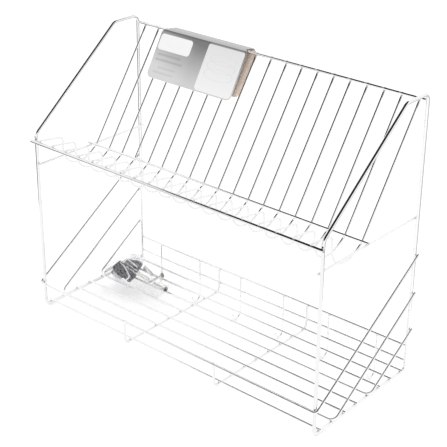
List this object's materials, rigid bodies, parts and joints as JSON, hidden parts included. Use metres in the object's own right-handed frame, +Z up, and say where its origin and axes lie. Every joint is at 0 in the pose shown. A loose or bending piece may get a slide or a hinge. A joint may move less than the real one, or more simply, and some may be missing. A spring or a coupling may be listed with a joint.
{
  "type": "wall-mounted dish rack",
  "caption": "Wall dish rack of welded chromed wire: plate wires above an open tray with guard wires and cup hooks, with its folded header card and its bag of fixings.",
  "frame": {"origin": "middle of the bounding box in X and Y, at the lowest point of the cup hooks", "axes": "+X to the right along the rack, -Y the open front, +Y the wall side, +Z up as it hangs on a wall"},
  "size_m": [0.4886, 0.2124, 0.4099],
  "materials": {
    "chrome_wire": "bright chrome plate",
    "printed_card": "smooth printed card",
    "black_plastic": "satin moulded",
    "cream_plastic": "satin moulded",
    "grey_plastic": "satin moulded",
    "zinc_steel": "yellow zinc",
    "clear_film": "clear film"
  },
  "bodies": {
    "root": {"side_frame_left": "chrome_wire", "side_frame_right": "chrome_wire", "upper_front_rail": "chrome_wire", "top_rear_rail": "chrome_wire", "rear_rail": "chrome_wire", "low_rear_rail": "chrome_wire", "shelf_crossbar_left": "chrome_wire", "shelf_crossbar_right": "chrome_wire", "plate_rear_rail": "chrome_wire", "front_guard": "chrome_wire", "middle_guard": "chrome_wire", "low_guard": "chrome_wire", "cross_wire_left": "chrome_wire", "cross_wire_right": "chrome_wire", "plate_wire_01": "chrome_wire", "plate_wire_02": "chrome_wire", "plate_wire_03": "chrome_wire", "plate_wire_04": "chrome_wire", "plate_wire_05": "chrome_wire", "plate_wire_06": "chrome_wire", "plate_wire_07": "chrome_wire", "plate_wire_08": "chrome_wire", "plate_wire_09": "chrome_wire", "plate_wire_10": "chrome_wire", "plate_wire_11": "chrome_wire", "plate_wire_12": "chrome_wire", "plate_wire_13": "chrome_wire", "plate_wire_14": "chrome_wire", "plate_wire_15": "chrome_wire", "plate_wire_16": "chrome_wire", "plate_wire_17": "chrome_wire", "plate_wire_18": "chrome_wire", "plate_wire_19": "chrome_wire", "tray_wire_1": "chrome_wire", "tray_wire_2": "chrome_wire", "tray_wire_3": "chrome_wire", "tray_wire_4": "chrome_wire", "tray_wire_5": "chrome_wire", "tray_wire_6": "chrome_wire", "hook_1": "chrome_wire", "hook_2": "chrome_wire", "hook_3": "chrome_wire", "hook_4": "chrome_wire", "hook_5": "chrome_wire", "hook_6": "chrome_wire", "header_card": "printed_card", "wall_bracket_1": "black_plastic", "wall_bracket_2": "black_plastic", "wall_plug_1": "cream_plastic", "wall_plug_2": "grey_plastic", "screw_1": "zinc_steel", "screw_2": "zinc_steel", "fixings_bag": "clear_film"}
  },
  "joints": []
}
